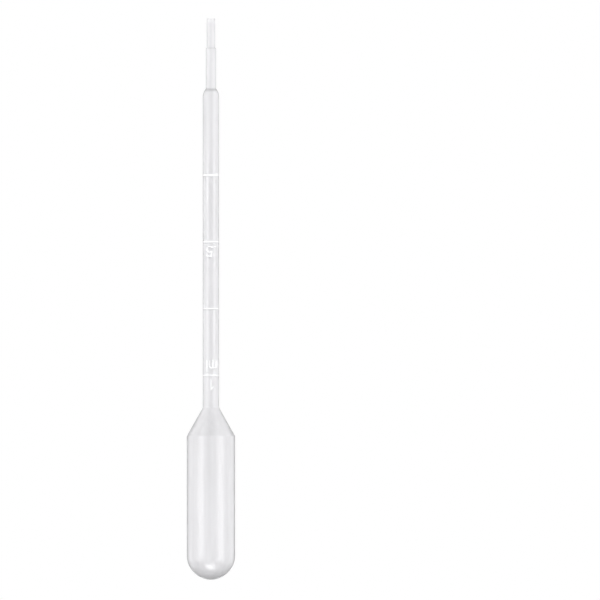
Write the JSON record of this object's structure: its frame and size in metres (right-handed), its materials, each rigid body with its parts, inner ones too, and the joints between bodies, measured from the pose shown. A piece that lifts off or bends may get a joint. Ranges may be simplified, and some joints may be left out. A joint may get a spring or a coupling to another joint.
{
  "type": "transfer pipette",
  "caption": "Disposable moulded transfer pipette: squeeze bulb with a round dome, graduated stem and a fine tip stepped down to an open nozzle.",
  "frame": {"origin": "the lowest point of the bulb's dome, on the axis of the pipette", "axes": "+Z along the axis from the bulb to the open tip, -Y the side that the graduations and characters face, +X to the right of someone who looks at them with the tip up"},
  "size_m": [0.0132, 0.0132, 0.155],
  "materials": {
    "bulb_plastic": "natural translucent low-density polyethylene, satin, milky",
    "stem_plastic": "natural translucent low-density polyethylene, thin and satin",
    "tip_plastic": "natural translucent low-density polyethylene, satin",
    "raised_marks": "the same plastic, thicker at the raised marks and so whiter"
  },
  "bodies": {
    "root": {"tip_nozzle": "tip_plastic", "tip_barrel": "tip_plastic", "tip_shoulder": "tip_plastic", "graduated_stem": "stem_plastic", "bulb_shoulder": "bulb_plastic", "bulb_front_wall": "bulb_plastic", "bulb_rear_wall": "bulb_plastic", "bulb_dome": "bulb_plastic", "graduation_1_00_ml": "raised_marks", "graduation_0_75_ml": "raised_marks", "graduation_0_50_ml": "raised_marks", "graduation_0_25_ml": "raised_marks", "numeral_half": "raised_marks", "numeral_one": "raised_marks", "unit_ml": "raised_marks"},
    "left_squeeze_wall": {"bulb_left_wall": "bulb_plastic"},
    "right_squeeze_wall": {"bulb_right_wall": "bulb_plastic"}
  },
  "joints": [
    {"name": "bulb_squeeze", "type": "slide", "parent": "root", "child": "left_squeeze_wall", "axis": [1, 0, 0], "range_m": [0, 0.0025], "stiffness_N_per_m": 1500},
    {"name": "bulb_squeeze_right", "type": "slide", "parent": "root", "child": "right_squeeze_wall", "axis": [-1, 0, 0], "range_m": [0, 0.0025], "stiffness_N_per_m": 1500}
  ],
  "couplings": [
    {"joint": "bulb_squeeze_right", "follows": "bulb_squeeze", "ratio": 1}
  ]
}
